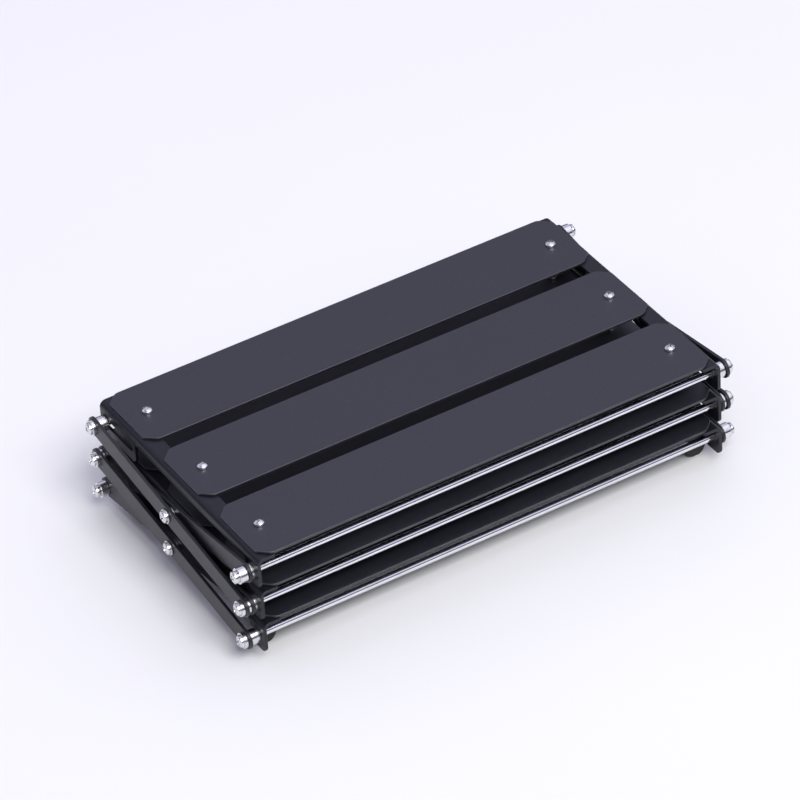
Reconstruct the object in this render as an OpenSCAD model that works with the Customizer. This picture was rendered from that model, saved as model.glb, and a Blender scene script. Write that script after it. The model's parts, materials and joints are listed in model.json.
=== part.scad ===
// Three-tier folding display rack, folded flat.
// Each tier is three slats screwed to two end brackets. Scissor arms outside the
// brackets join the tiers, turn on the front rods and slide with the rear rods. The arms
// that rise to the rear are outermost at the left end and innermost at the right end.
// The origin is on the floor under the middle of the rack. X runs along the slats.

/* [Tiers] */
// Height from one tier to the next when folded
tier_pitch = 28.4; // [27.6:0.2:32]
// Distance between the centre lines of neighbouring slats
slat_pitch = 78; // [74:1:84]

/* [Slats] */
// Length of a slat
slat_len = 375; // [372:1:377]
// Width of a slat
slat_w = 64; // [56:1:68]
// Thickness of a slat
slat_t = 2; // [1.5:0.1:2.5]
// Length of the cut across each corner of a slat
slat_corner = 8.5; // [4:0.5:12]

/* [Brackets] */
// Outer face of the end brackets, from the middle of the rack
bracket_x = 191; // [190:0.5:193]
// Thickness of the bracket sheet
sheet_t = 2.5; // [2:0.1:3]
// Outer radius of the bends
bend_r = 5; // [4:0.5:6]
// Height of the bracket, from its top plate to its lower edge
bracket_h = 25.2; // [24.6:0.2:25.8]
// Height left of the bracket between its two lobes
bracket_mid_h = 8; // [7:0.5:9]
// Depth of the front lobe
front_lobe = 18; // [17:0.5:20]
// Depth of the rear lobe, which holds the slot
rear_lobe = 50; // [48:0.5:54]

/* [Feet] */
// Height of the rubber feet below the brackets
foot_drop = 8; // [7:0.5:8]
// Width of a rubber foot
foot_w = 17; // [16.5:0.5:18]
// Thickness of a rubber foot
foot_t = 6.5; // [6:0.5:8]

/* [Scissor] */
// Front pivot, from the middle of the rack
front_y = -101; // [-102:0.5:-100]
// Rear pivot when folded, from the middle of the rack
rear_y = 103.5; // [103:0.5:105]
// Depth of the pivots below the top of a tier
pivot_drop = 16; // [15:0.5:17]
// Diameter of the rods
rod_d = 6; // [5.5:0.1:6.5]
// Width of an arm
arm_w = 15; // [13:0.5:16]
// Thickness of an arm
arm_t = 2.5; // [2.2:0.1:2.8]
// Angle that the arms turn through when the rack is raised
raise_angle = 27; // [20:1:27]

/* [Hidden] */

BLACK = [0.06, 0.06, 0.065];
RUBBER = [0.03, 0.03, 0.03];
CHROME = [0.8, 0.8, 0.82];

// Gap between two bodies that face each other, and radial play of the joints
face_gap = 0.2;
run_play = 0.08;
slot_play = 0.3;

// Heights of the tops of the three tiers, base first
base_top = foot_drop + bracket_h + slat_t;
tier_top = [for (i = [0:2]) base_top + i * tier_pitch];
pivot_z = [for (z = tier_top) z - pivot_drop];

// Folded angle, length and travel of the arms
span_y = rear_y - front_y;
rest_angle = atan(tier_pitch / span_y);
arm_len = norm([span_y, tier_pitch]);
slot_travel = span_y - arm_len * cos(rest_angle + raise_angle);

// Places along X, outwards from the outer face of the bracket
washer_t = 1.2;
inner_washer_t = 2.4;
between_washer_t = 2;
inner_arm_x = bracket_x + inner_washer_t + face_gap;
inner_arm_end = inner_arm_x + arm_t;
outer_arm_x = inner_arm_end + between_washer_t + 2 * face_gap;
outer_arm_end = outer_arm_x + arm_t;
rod_end_x = outer_arm_end + face_gap + washer_t;
lock_t = 1.4;

// Ends of the brackets and inner edges of the slat tabs
bracket_len = 2 * slat_pitch + slat_w + 2;
bracket_y = bracket_len / 2;
tab_x = 160;
rail_x = 176;
tab_w = 46;
slat_screw_x = 170;
hole_r = 2.15;

// Screws, washers and nuts
slat_head = [4.1, 3.1];
rod_head = [4.7, 3];
screw_r = 2;
washer_r = 6;
lock_r = 4.4;
pivot_screw_r = 2.5;
pivot_head = [4.7, 3];
nut_af = 7;
nut_t = 3.2;

// Puts the child at the right end and its mirror image at the left end
module both_ends() {
    children();
    mirror([1, 0, 0]) children();
}

// Cylinder along X from x0 to x1
module bar_x(r, x0, x1) {
    translate([x0, 0, 0]) rotate([0, 90, 0]) cylinder(r = r, h = x1 - x0, $fn = 64);
}

// Ring along X from x0 to x1
module ring_x(r_out, r_in, x0, x1) {
    difference() {
        bar_x(r_out, x0, x1);
        bar_x(r_in, x0 - 1, x1 + 1);
    }
}

// Outline with rounded ends, from one centre to another, along its first axis
module stadium(r, length) {
    circle(r = r, $fn = 64);
    translate([length, 0]) circle(r = r, $fn = 64);
    translate([0, -r]) square([length, 2 * r]);
}

// Rectangle with its corner at the origin and all four corners rounded
module round_rect(size, r) {
    translate([r, 0]) square([size.x - 2 * r, size.y]);
    translate([0, r]) square([size.x, size.y - 2 * r]);
    for (x = [r, size.x - r], y = [r, size.y - r])
        translate([x, y]) circle(r = r, $fn = 48);
}

// Pan head screw with a cross recess, its head on z = 0 and its shank below
module screw(head, shank_r, shank_l) {
    r = head[0];
    h = head[1];
    rim = 0.5 * h;
    dome = h - rim;
    dome_r = (r * r + dome * dome) / (2 * dome);
    difference() {
        intersection() {
            cylinder(r = r, h = h, $fn = 64);
            translate([0, 0, h - dome_r]) sphere(r = dome_r, $fn = 64);
        }
        for (a = [0, 90])
            rotate(a) translate([-0.5 * r, -0.11 * r, 0.45 * h])
                cube([r, 0.22 * r, h]);
    }
    translate([0, 0, -shank_l]) cylinder(r = shank_r, h = shank_l + 0.2, $fn = 48);
}

// ---- slats ----

// Points of an eighth of a circle
function eighth(centre, r, start) = [
    for (i = [0:6]) centre + r * [cos(start + 7.5 * i), sin(start + 7.5 * i)]
];

// Outline of a slat: a rectangle with its corners cut across and softened
module slat_outline() {
    end_soft = 2;
    side_soft = 8;
    end = [slat_len / 2 - end_soft, slat_w / 2 - slat_corner - end_soft * tan(22.5)];
    side = [slat_len / 2 - slat_corner - side_soft * tan(22.5), slat_w / 2 - side_soft];
    polygon(concat(
        eighth(end, end_soft, 0),
        eighth(side, side_soft, 45),
        eighth([-side.x, side.y], side_soft, 90),
        eighth([-end.x, end.y], end_soft, 135),
        eighth(-end, end_soft, 180),
        eighth(-side, side_soft, 225),
        eighth([side.x, -side.y], side_soft, 270),
        eighth([end.x, -end.y], end_soft, 315)
    ));
}

module slat(tier, row) {
    color(BLACK)
    translate([0, row * slat_pitch, tier_top[tier] - slat_t])
        difference() {
            linear_extrude(slat_t) slat_outline();
            for (sx = [-1, 1])
                translate([sx * slat_screw_x, 0, -1])
                    cylinder(r = hole_r, h = slat_t + 2, $fn = 48);
        }
}

// ---- brackets ----

// Section of a bracket: top plate, bend and outer flange
module bracket_section() {
    bend_x = bracket_x - bend_r;
    translate([tab_x, -sheet_t]) square([bend_x - tab_x, sheet_t]);
    translate([bracket_x - sheet_t, -bracket_h]) square([sheet_t, bracket_h - bend_r]);
    translate([bend_x, -bend_r]) intersection() {
        difference() {
            circle(r = bend_r, $fn = 96);
            circle(r = bend_r - sheet_t, $fn = 96);
        }
        square(bend_r);
    }
}

// What the outer flange keeps, seen from the end: two lobes and the strip between
module flange_outline() {
    corner = 5;
    translate([-bracket_y, -bracket_mid_h]) square([bracket_len, bracket_mid_h + 1]);
    for (lobe = [[-bracket_y, front_lobe], [bracket_y - rear_lobe, rear_lobe]])
        translate([lobe[0], -bracket_h]) {
            round_rect([lobe[1], bracket_h], corner);
            translate([0, corner]) square([lobe[1], bracket_h - corner]);
        }
}

// Gaps beside the tabs that carry the slats
module tab_gaps() {
    soft = 4;
    gap_w = slat_pitch - tab_w;
    for (i = [-1.5:1.5])
        translate([tab_x - soft, i * slat_pitch - gap_w / 2, -sheet_t - 1])
            linear_extrude(sheet_t + 2)
                round_rect([rail_x - tab_x + soft, gap_w], soft);
}

// Right-hand bracket of one tier, before its feet
module bracket_body(tier) {
    translate([0, 0, tier_top[tier] - slat_t])
        difference() {
            rotate([90, 0, 0]) linear_extrude(bracket_len, center = true) bracket_section();
            // keep only the outline of the flange
            translate([bracket_x - bend_r, 0, 0]) rotate([90, 0, 90])
                linear_extrude(bend_r + 1) difference() {
                    translate([-bracket_y - 1, -bracket_h - 1])
                        square([bracket_len + 2, bracket_h - bracket_mid_h + 1.01]);
                    flange_outline();
                }
            tab_gaps();
            // hole of the front rod
            translate([0, front_y, slat_t - pivot_drop])
                bar_x(rod_d / 2 + 0.05, bracket_x - 10, bracket_x + 10);
            // slot of the rear rod
            translate([bracket_x - 10, rear_y + 0.5, slat_t - pivot_drop])
                rotate([90, 0, 90]) linear_extrude(20)
                    mirror([1, 0]) stadium(rod_d / 2 + slot_play, slot_travel + 1);
            // holes of the slat screws
            for (row = [-1:1])
                translate([slat_screw_x, row * slat_pitch, -sheet_t - 1])
                    cylinder(r = hole_r, h = sheet_t + 2, $fn = 48);
        }
}

// Middles of the feet. The front tab is bent inwards from the inner edge of the front
// lobe. The rear tab is welded inside the rear lobe and stays below the sliding rod.
bend_y = -bracket_y + front_lobe;
front_foot_y = bend_y + bend_r - sheet_t / 2;
rear_foot_y = 84;
foot_x = bracket_x - 11;
foot_r = foot_w / 2;
foot_core_r = foot_r - 2.5;

// Upright disc that faces the front, in the middle of a foot
module foot_disc(r, thickness) {
    translate([foot_x, 0, foot_drop]) rotate([90, 0, 0])
        cylinder(r = r, h = thickness, center = true, $fn = 64);
}

// Upright tab with a round lower end, from inside the foot out to the given place
module foot_tab(end_x, tab_h) {
    foot_disc(foot_core_r, sheet_t);
    translate([foot_x - foot_core_r, -sheet_t / 2, foot_drop])
        cube([end_x - foot_x + foot_core_r, sheet_t, tab_h]);
}

// Front tab with the bend that joins it to the flange
module front_foot_tab() {
    tab_h = bracket_h - bracket_mid_h - 2;
    bend_x = bracket_x - bend_r;
    translate([0, front_foot_y, 0]) foot_tab(bend_x, tab_h);
    translate([bend_x, bend_y, foot_drop])
        rotate_extrude(angle = 90, $fn = 96)
            translate([bend_r - sheet_t, 0]) square([sheet_t, tab_h]);
    // the lobe keeps a square corner where it turns into the bend
    translate([bracket_x - sheet_t, bend_y - bend_r - 1, foot_drop])
        cube([sheet_t, bend_r + 1, tab_h]);
}

module rear_foot_tab() {
    below_rod = 4.2;
    translate([0, rear_foot_y, 0])
        foot_tab(bracket_x - sheet_t / 2, pivot_z[0] - foot_drop - below_rod);
}

module bracket(tier) {
    bracket_body(tier);
    if (tier == 0) {
        front_foot_tab();
        rear_foot_tab();
    }
}

// One rubber foot, a half-round boot over the end of its tab
module rubber_foot() {
    play = 0.05;
    difference() {
        foot_disc(foot_r, foot_t);
        foot_disc(foot_core_r + play, sheet_t + 2 * play);
        translate([foot_x - foot_w, -foot_t, foot_drop - face_gap])
            cube([2 * foot_w, 2 * foot_t, foot_w]);
        translate([foot_x - foot_w, -foot_t, -2])
            cube([2 * foot_w, 2 * foot_t, 2]);
    }
}

module rubber_feet() {
    color(RUBBER) both_ends()
        for (y = [front_foot_y, rear_foot_y])
            translate([0, y, 0]) rubber_foot();
}

// ---- slat fasteners ----

module slat_points(tier) {
    for (sx = [-1, 1], row = [-1:1])
        translate([sx * slat_screw_x, row * slat_pitch, tier_top[tier]])
            rotate(23 * row + 31 * sx) children();
}

module slat_screws(tier) {
    color(CHROME) slat_points(tier) screw(slat_head, screw_r, slat_t + sheet_t + nut_t + 1);
}

module slat_nuts(tier) {
    color(CHROME) slat_points(tier)
        translate([0, 0, -slat_t - sheet_t - nut_t]) difference() {
            cylinder(r = nut_af / 2 / cos(30), h = nut_t, $fn = 6);
            translate([0, 0, -1]) cylinder(r = screw_r, h = nut_t + 2, $fn = 48);
        }
}

// ---- rods and what is threaded on them ----

module at_pivot(tier, y) {
    translate([0, y, pivot_z[tier]]) children();
}

// Rod with a tapped bore at each end
module rod(tier, y) {
    bore = 12;
    color(CHROME) at_pivot(tier, y) difference() {
        bar_x(rod_d / 2, -rod_end_x, rod_end_x);
        both_ends() bar_x(screw_r, rod_end_x - bore, rod_end_x + 1);
    }
}

module rod_screws(tier, y) {
    shank = lock_t + 10;
    color(CHROME) both_ends() at_pivot(tier, y)
        translate([rod_end_x + lock_t, 0, 0]) rotate([0, 90, 0])
            rotate(20 + 30 * tier) screw(rod_head, screw_r, shank);
}

// Rings on a rod at the given places
module rings(places) {
    for (place = places)
        ring_x(washer_r, rod_d / 2 + 0.05, place[0], place[1]);
}

module rings_at_ends(tier, y, left_places, right_places) {
    at_pivot(tier, y) {
        mirror([1, 0, 0]) rings(left_places);
        rings(right_places);
    }
}

// Flat washers at the given places, and the split spring washer under each head
module rod_washers(tier, y, left_places, right_places) {
    cut = 0.8;
    color(CHROME) {
        rings_at_ends(tier, y, left_places, right_places);
        both_ends() at_pivot(tier, y) difference() {
            ring_x(lock_r, screw_r + 0.05, rod_end_x, rod_end_x + lock_t);
            rotate([20, 0, 0]) translate([rod_end_x - 1, -cut / 2, 0])
                cube([lock_t + 2, cut, lock_r + 1]);
        }
    }
}

module spacers(tier, y, left_place, right_place) {
    color(CHROME) rings_at_ends(tier, y, [left_place], [right_place]);
}

// Places of the flat washers: inside the inner arm, between the arms, outside the outer arm
inner_place = [bracket_x, bracket_x + inner_washer_t];
slider_place = [bracket_x + face_gap, inner_arm_x];
between_place = [inner_arm_end + face_gap, outer_arm_x - face_gap];
outer_place = [outer_arm_end + face_gap, rod_end_x];
outer_touching = [outer_arm_end, rod_end_x];
all_places = [inner_place, between_place, outer_place];

// Places of the spacers that stand where one arm is missing, on front and on rear rods
front_inside = [bracket_x, outer_arm_x - face_gap];
front_outside = [inner_arm_end + face_gap, rod_end_x];
rear_inside = [bracket_x + face_gap, outer_arm_x];
rear_outside = [inner_arm_end, rod_end_x];

// ---- arms ----

// Right-hand arm from its front pivot, rising by the given angle to the rear
module arm(tier, x, angle, front_r, mid_r, rear_r) {
    color(BLACK) at_pivot(tier, front_y) translate([x, 0, 0]) rotate([angle, 0, 0])
        rotate([90, 0, 90]) linear_extrude(arm_t) difference() {
            stadium(arm_w / 2, arm_len);
            circle(r = front_r, $fn = 64);
            translate([arm_len / 2, 0]) circle(r = mid_r, $fn = 64);
            translate([arm_len, 0]) circle(r = rear_r, $fn = 64);
        }
}

running_r = rod_d / 2 + run_play;
fixed_r = rod_d / 2 + 0.03;
open_r = rod_d / 2 + slot_play;

// Rising arms turn on the rod in front and carry the rod at the rear
module rising_arm(tier, x) {
    arm(tier, x, rest_angle, running_r, pivot_screw_r + run_play, fixed_r);
}

// Falling arms turn on the rod in front and hold the pivot screw
module falling_arm(tier, x, rear_r) {
    arm(tier + 1, x, -rest_angle, running_r, pivot_screw_r, rear_r);
}

module at_middle(tier) {
    translate([0, (front_y + rear_y) / 2, (pivot_z[tier] + pivot_z[tier + 1]) / 2]) children();
}

// Shoulder screws that join the crossing arms, flush with the inner arm inside
module pivot_screws(tier) {
    head_x = outer_arm_end + face_gap + washer_t;
    color(CHROME) both_ends() at_middle(tier)
        translate([head_x, 0, 0]) rotate([0, 90, 0]) rotate(40 + 25 * tier)
            screw(pivot_head, pivot_screw_r, head_x - inner_arm_x);
}

module pivot_washers(tier) {
    color(CHROME) both_ends() at_middle(tier) {
        ring_x(washer_r - 0.5, pivot_screw_r + 0.05, outer_place[0], outer_place[1]);
        ring_x(washer_r - 0.5, pivot_screw_r + 0.05, between_place[0], between_place[1]);
    }
}

// ---- nodes ----

slat(0, -1);  // base_slat_front
slat(0, 0);  // base_slat_middle
slat(0, 1);  // base_slat_rear
slat(1, -1);  // middle_slat_front
slat(1, 0);  // middle_slat_middle
slat(1, 1);  // middle_slat_rear
slat(2, -1);  // top_slat_front
slat(2, 0);  // top_slat_middle
slat(2, 1);  // top_slat_rear

color(BLACK) mirror([1, 0, 0]) bracket(0);  // base_bracket_left
color(BLACK) bracket(0);  // base_bracket_right
color(BLACK) mirror([1, 0, 0]) bracket(1);  // middle_bracket_left
color(BLACK) bracket(1);  // middle_bracket_right
color(BLACK) mirror([1, 0, 0]) bracket(2);  // top_bracket_left
color(BLACK) bracket(2);  // top_bracket_right
rubber_feet();

slat_screws(0);  // base_slat_screws
slat_screws(1);  // middle_slat_screws
slat_screws(2);  // top_slat_screws
slat_nuts(0);  // base_slat_nuts
slat_nuts(1);  // middle_slat_nuts
slat_nuts(2);  // top_slat_nuts

rod(0, front_y);  // base_front_rod
rod(1, front_y);  // middle_front_rod
rod(2, front_y);  // top_front_rod
rod(0, rear_y);  // base_rear_rod
rod(1, rear_y);  // middle_rear_rod
rod(2, rear_y);  // top_rear_rod

rod_screws(0, front_y);  // base_front_rod_screws
rod_screws(1, front_y);  // middle_front_rod_screws
rod_screws(2, front_y);  // top_front_rod_screws
rod_screws(0, rear_y);  // base_rear_rod_screws
rod_screws(1, rear_y);  // middle_rear_rod_screws
rod_screws(2, rear_y);  // top_rear_rod_screws

rod_washers(0, front_y, [outer_place], [inner_place]);  // base_front_rod_washers
rod_washers(1, front_y, all_places, all_places);  // middle_front_rod_washers
rod_washers(2, front_y, [inner_place], [outer_place]);  // top_front_rod_washers
rod_washers(0, rear_y, [slider_place], [outer_touching]);  // base_rear_rod_washers
rod_washers(1, rear_y,  // middle_rear_rod_washers
        [
            [slider_place[0], slider_place[1] - face_gap],
            [between_place[0], outer_arm_x],
            outer_touching
        ],
        [slider_place, [inner_arm_end, between_place[1]], outer_place]);
rod_washers(2, rear_y, [outer_touching], [slider_place]);  // top_rear_rod_washers

spacers(0, front_y, front_inside, front_outside);  // base_front_spacers
spacers(2, front_y, front_outside, front_inside);  // top_front_spacers
spacers(0, rear_y, rear_outside, rear_inside);  // base_rear_spacers
spacers(2, rear_y, rear_inside, rear_outside);  // top_rear_spacers

mirror([1, 0, 0]) rising_arm(0, outer_arm_x);  // lower_rising_arm_left
rising_arm(0, inner_arm_x);  // lower_rising_arm_right
mirror([1, 0, 0]) falling_arm(0, inner_arm_x, fixed_r);  // lower_falling_arm_left
falling_arm(0, outer_arm_x, fixed_r);  // lower_falling_arm_right
mirror([1, 0, 0]) rising_arm(1, outer_arm_x);  // upper_rising_arm_left
rising_arm(1, inner_arm_x);  // upper_rising_arm_right
mirror([1, 0, 0]) falling_arm(1, inner_arm_x, open_r);  // upper_falling_arm_left
falling_arm(1, outer_arm_x, open_r);  // upper_falling_arm_right

pivot_screws(0);  // lower_pivot_screws
pivot_screws(1);  // upper_pivot_screws
pivot_washers(0);  // lower_pivot_washers
pivot_washers(1);  // upper_pivot_washers
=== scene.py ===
"""Looks of the folded three-tier rack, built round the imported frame. Metres, the frame's own axes."""
import json
import math

import bmesh
import bpy
from mathutils import Matrix, Vector
from mathutils.geometry import delaunay_2d_cdt

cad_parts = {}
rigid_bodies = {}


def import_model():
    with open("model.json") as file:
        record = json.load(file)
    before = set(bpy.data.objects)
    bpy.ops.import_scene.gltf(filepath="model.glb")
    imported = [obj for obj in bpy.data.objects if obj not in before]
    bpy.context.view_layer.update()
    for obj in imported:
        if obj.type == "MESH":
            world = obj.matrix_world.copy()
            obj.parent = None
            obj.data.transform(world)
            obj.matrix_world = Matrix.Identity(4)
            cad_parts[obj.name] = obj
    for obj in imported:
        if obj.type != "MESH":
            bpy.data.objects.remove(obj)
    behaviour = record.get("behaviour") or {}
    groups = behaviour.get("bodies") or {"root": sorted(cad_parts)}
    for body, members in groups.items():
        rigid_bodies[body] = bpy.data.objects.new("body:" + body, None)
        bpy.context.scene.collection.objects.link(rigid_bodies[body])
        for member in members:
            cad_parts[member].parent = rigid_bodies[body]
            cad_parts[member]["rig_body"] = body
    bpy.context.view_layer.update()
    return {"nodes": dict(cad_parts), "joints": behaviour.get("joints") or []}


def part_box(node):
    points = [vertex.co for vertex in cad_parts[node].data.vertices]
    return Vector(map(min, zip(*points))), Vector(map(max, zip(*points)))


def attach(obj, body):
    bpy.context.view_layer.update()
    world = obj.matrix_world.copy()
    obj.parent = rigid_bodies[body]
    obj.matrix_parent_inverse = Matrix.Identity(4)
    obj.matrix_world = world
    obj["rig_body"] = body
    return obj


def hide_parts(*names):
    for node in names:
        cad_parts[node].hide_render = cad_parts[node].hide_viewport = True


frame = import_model()

MM = 0.001
TIERS = ("base", "middle", "top")
ROWS = ("front", "middle", "rear")
LEVELS = ("lower", "upper")
SIDES = {"left": -1, "right": 1}
JOINTS = {joint["name"]: joint for joint in frame["joints"]}

# ---------------------------------------------------------------- sizes that the frame doesn't hold
SLAT_CORNER = 8.5 * MM  # cut across each corner of a slat
SLAT_END_SOFT = 2 * MM
SLAT_SIDE_SOFT = 8 * MM
SCREW_HOLE = 2.15 * MM  # radius of the holes for the slat screws

SHEET = 2.5 * MM  # thickness of the bracket sheet
BEND = 5 * MM  # outer radius of the bracket's bend
BEND_STEPS = 10
BEND_RUN = (BEND - SHEET / 2) * math.pi / 2  # length of flat sheet that the bend takes up
RAIL_WIDTH = 15 * MM  # width of a bracket's top plate between its tabs
TAB_HALF = 23 * MM
TAB_SOFT = 2 * MM
GAP_SOFT = 4 * MM
STRIP_HEIGHT = 8 * MM  # height of the flange between the two lobes
STRIP_SOFT = 1 * MM
FRONT_LOBE = 18 * MM
REAR_LOBE = 50 * MM
LOBE_SOFT = 5 * MM
SLOT_PLAY = 0.3 * MM
SLOT_BEHIND = 0.5 * MM  # room in the slot behind the folded rod

FOOT_DROP = 8 * MM
FOOT_WIDTH = 17 * MM
FOOT_THICK = 6.5 * MM
FOOT_CORE = 6 * MM  # radius of a foot tab's lower end
FOOT_STEPS = 10
TAB_STEPS = 24
FRONT_TAB_TOP = 23.2 * MM
FRONT_TAB_LAP = 2 * MM  # length of the front foot tab that lies inside the lobe
FRONT_TAB_THINNER = 0.04 * MM  # so that the lap stays inside
BELOW_ROD = 4.2 * MM  # from a pivot down to the top of the rear foot tab

ROD_BORE = 12 * MM  # depth of the threaded hole in a rod's end
ROD_CHAMFER = 0.4 * MM
SHANK = 2 * MM
PIVOT_SHANK = 2.5 * MM
RING_PLAY = 0.05 * MM  # from a shaft to the rings round it
SPACER_SOFT = 0.4 * MM
SPLIT_GAP = 0.17  # opening of a spring washer, in radians
SPLIT_LEAN = 0.22  # slant of its cut, in radians
SPLIT_START = math.radians(110)

SLAT_HEAD = (4.1 * MM, 3.1 * MM)  # radius and height of the slat screws' heads
END_HEAD = (4.7 * MM, 3 * MM)  # the same, of the screws in the rods and crossings
HEAD_RIM = 0.5  # height of a screw head's rim, below its dome, as a share of the head's
HEAD_BEVEL = 0.25  # share of the rim that the bevel at its foot takes
HEAD_SOFT = 0.2 * MM  # rounding above that bevel
HEAD_SHOULDER = 0.93  # share of the dome's arc that is left above the rim
RECESS_LONG = 0.52  # half length of a cross recess, as a share of the head's radius
RECESS_WIDE = 0.115  # half width of each of its two wings
RECESS_DEPTH = 0.55  # as a share of the head's height
RECESS_ABOVE = 0.25  # how far its cutter stands above the head, as the same share
RECESS_FLOOR = 0.45  # width along Y of a wing's floor, as a share of its nominal one
RECESS_MOUTH = 1.15  # the same, of the top of its cutter
RECESS_STEEP = 0.6  # share of a wing's width along Z that stays the same all the way down
THREAD_PITCH = 0.7 * MM
THREAD_TURNS = 4
THREAD_START = 0.35  # turns from the tip to the first crest
THREAD_TIP = 0.72  # radius of the screw's tip, as a share of the crest's
THREAD_ROOT = 0.86  # radius of the thread's root, as the same share
THREAD_SOFT = 0.03 * MM
SLAT_SPIN = (23, 31)  # degrees that a slat screw is turned for each row, and for each side
ROD_SPIN = (20, 30, 14)  # degrees that a rod screw is turned at the base, for each tier, and at the rear
PIVOT_SPIN = (40, 25)  # degrees that a crossing's screw is turned at the lower one, and for each level
NUT_ACROSS = 7 * MM
NUT_FACE = 0.94  # width of a nut's flat face, as a share of its width across flats
NUT_LAND = 0.16  # thickness turned down at each face, as a share of the nut's
NUT_SLOPE = 0.55  # fall of the turned-down corners for each step inwards
NUT_SOFT = 0.08 * MM

EDGE_SOFT = 0.45 * MM  # rounding of a coated sheet's edges
METAL_SOFT = 0.25 * MM  # rounding of washers
END_SOFT = 0.1 * MM  # rounding at a rod's end and under a screw's head
FINE_SOFT = 0.05 * MM  # rounding of the smallest corners of rods, screws and nuts
RUBBER_SOFT = 0.7 * MM
RIM_STEPS = 4
ROUND = 72  # sides of a turned piece
SCREW_ROUND = 56
ARM_STEPS = 30
SHARP = math.radians(32)  # edges of screws and nuts above this angle stay sharp
WELD = 1e-7  # points closer than this are one
CAD_WELD = 1e-6  # the same, for a mesh of the frame
CAD_TOUCH = 1e-5  # faces of the frame closer than this meet
STRAIGHT = 1e-4  # a profile turns by less than this, in radians, where it goes straight on

# ---------------------------------------------------------------- turns of a plate or a turned piece
FACING_X = Matrix(((0, 0, 1, 0), (1, 0, 0, 0), (0, 1, 0, 0), (0, 0, 0, 1)))  # a plate's u along Y, its v up
SWAP_YZ = Matrix(((1, 0, 0, 0), (0, 0, 1, 0), (0, 1, 0, 0), (0, 0, 0, 1)))
STANDING = Matrix.Rotation(math.pi / 2, 4, "X")  # a plate's v up, its w to the front
UPRIGHT = Matrix.Rotation(-math.pi / 2, 4, "Y")  # the X of a turned piece up

# ---------------------------------------------------------------- where the pivots are
screw_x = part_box("top_slat_screws")[1].x - SLAT_HEAD[0]
front_y = JOINTS["lower_rising_arms_turn"]["pos_m"][1]
pivot_z = [
    JOINTS[name]["pos_m"][2] for name in ("lower_rising_arms_turn", "middle_tier_rise", "top_tier_rise")
]
crossings = [Vector((0, *JOINTS[level + "_falling_arms_turn"]["pos_m"][1:])) for level in LEVELS]
rear_y = 2 * crossings[0].y - front_y
raise_angle = math.radians(JOINTS["lower_rising_arms_turn"]["range_deg"][1])
rod_low, rod_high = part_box("top_front_rod")
rod_r = (rod_high.z - rod_low.z) / 2
rod_end = rod_high.x


# ---------------------------------------------------------------- building meshes
class Shape:
    """Points with their normals and edge wear, and the faces between them"""

    def __init__(self):
        self.points = []
        self.normals = []
        self.wear = []
        self.faces = []

    def add(self, points, normals, wear, faces):
        """Adds points and faces, and turns each face the way its points' normals say"""
        base = len(self.points)
        self.points += points
        self.normals += normals
        self.wear += wear
        for face in faces:
            a, b, c = (points[face[k]] for k in (0, 1, 2))
            facing = (b - a).cross(c - a)
            for k in range(3, len(face)):
                facing += (points[face[k - 1]] - a).cross(points[face[k]] - a)
            meant = sum((normals[k] for k in face), Vector())
            ordered = face if facing.dot(meant) >= 0 else tuple(reversed(face))
            self.faces.append(tuple(base + k for k in ordered))

    def merge(self, other, place):
        """Adds another shape, moved by a matrix"""
        turn = place.to_3x3().inverted().transposed()
        points = [place @ point for point in other.points]
        normals = [(turn @ normal).normalized() for normal in other.normals]
        self.add(points, normals, list(other.wear), list(other.faces))

    def placed(self, place):
        """This shape, moved by a matrix"""
        moved = Shape()
        moved.merge(self, place)
        return moved

    def warp(self, rule):
        """Moves each point, with its normal, by a rule"""
        moved = [rule(point, normal) for point, normal in zip(self.points, self.normals)]
        self.points = [pair[0] for pair in moved]
        self.normals = [pair[1].normalized() for pair in moved]


def at(x, y, z):
    return Matrix.Translation((x, y, z))


def mirrored(side):
    """Mirror across the middle of the rack for side -1, and nothing for side 1"""
    return Matrix.Diagonal((side, 1, 1, 1))


def arc(x, y, radius, start, sweep, steps):
    """Points along an arc, both ends included"""
    angles = [start + sweep * k / steps for k in range(steps + 1)]
    return [Vector((x + radius * math.cos(a), y + radius * math.sin(a))) for a in angles]


def ring_outline(x, y, radius, sides=40):
    """Circle as a hole, so it runs clockwise"""
    return arc(x, y, radius, 0, -2 * math.pi, sides)[:-1]


def slot_outline(x, y0, y1, radius, sides=20):
    """Slot along y from centre y0 to centre y1, as a hole, so it runs clockwise"""
    return arc(x, y1, radius, math.pi, -math.pi, sides) + arc(x, y0, radius, 0, -math.pi, sides)


def soft_outline(corners, step=math.radians(9)):
    """Outline through (x, y, radius) corners, each rounded by an arc"""
    outline = []
    count = len(corners)
    for i, (x, y, radius) in enumerate(corners):
        here = Vector((x, y))
        arriving = (here - Vector(corners[i - 1][:2])).normalized()
        leaving = (Vector(corners[(i + 1) % count][:2]) - here).normalized()
        turn = arriving.angle_signed(leaving)  # positive to the right
        start = here - arriving * radius * math.tan(abs(turn) / 2)
        side = -1 if turn > 0 else 1
        centre = start + Vector((-arriving.y, arriving.x)) * side * radius
        steps = max(2, math.ceil(abs(turn) / step))
        for k in range(steps + 1):
            outline.append(centre + Matrix.Rotation(-turn * k / steps, 2) @ (start - centre))
    return outline


def left_of(outline):
    """For each point of a closed outline, the mitred unit step to its left, into the material"""
    steps = []
    count = len(outline)
    for i in range(count):
        a = (outline[i] - outline[i - 1]).normalized()
        b = (outline[(i + 1) % count] - outline[i]).normalized()
        normal_a = Vector((-a.y, a.x))
        normal_b = Vector((-b.y, b.x))
        steps.append((normal_a + normal_b) / (1 + normal_a.dot(normal_b)))
    return steps


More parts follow.
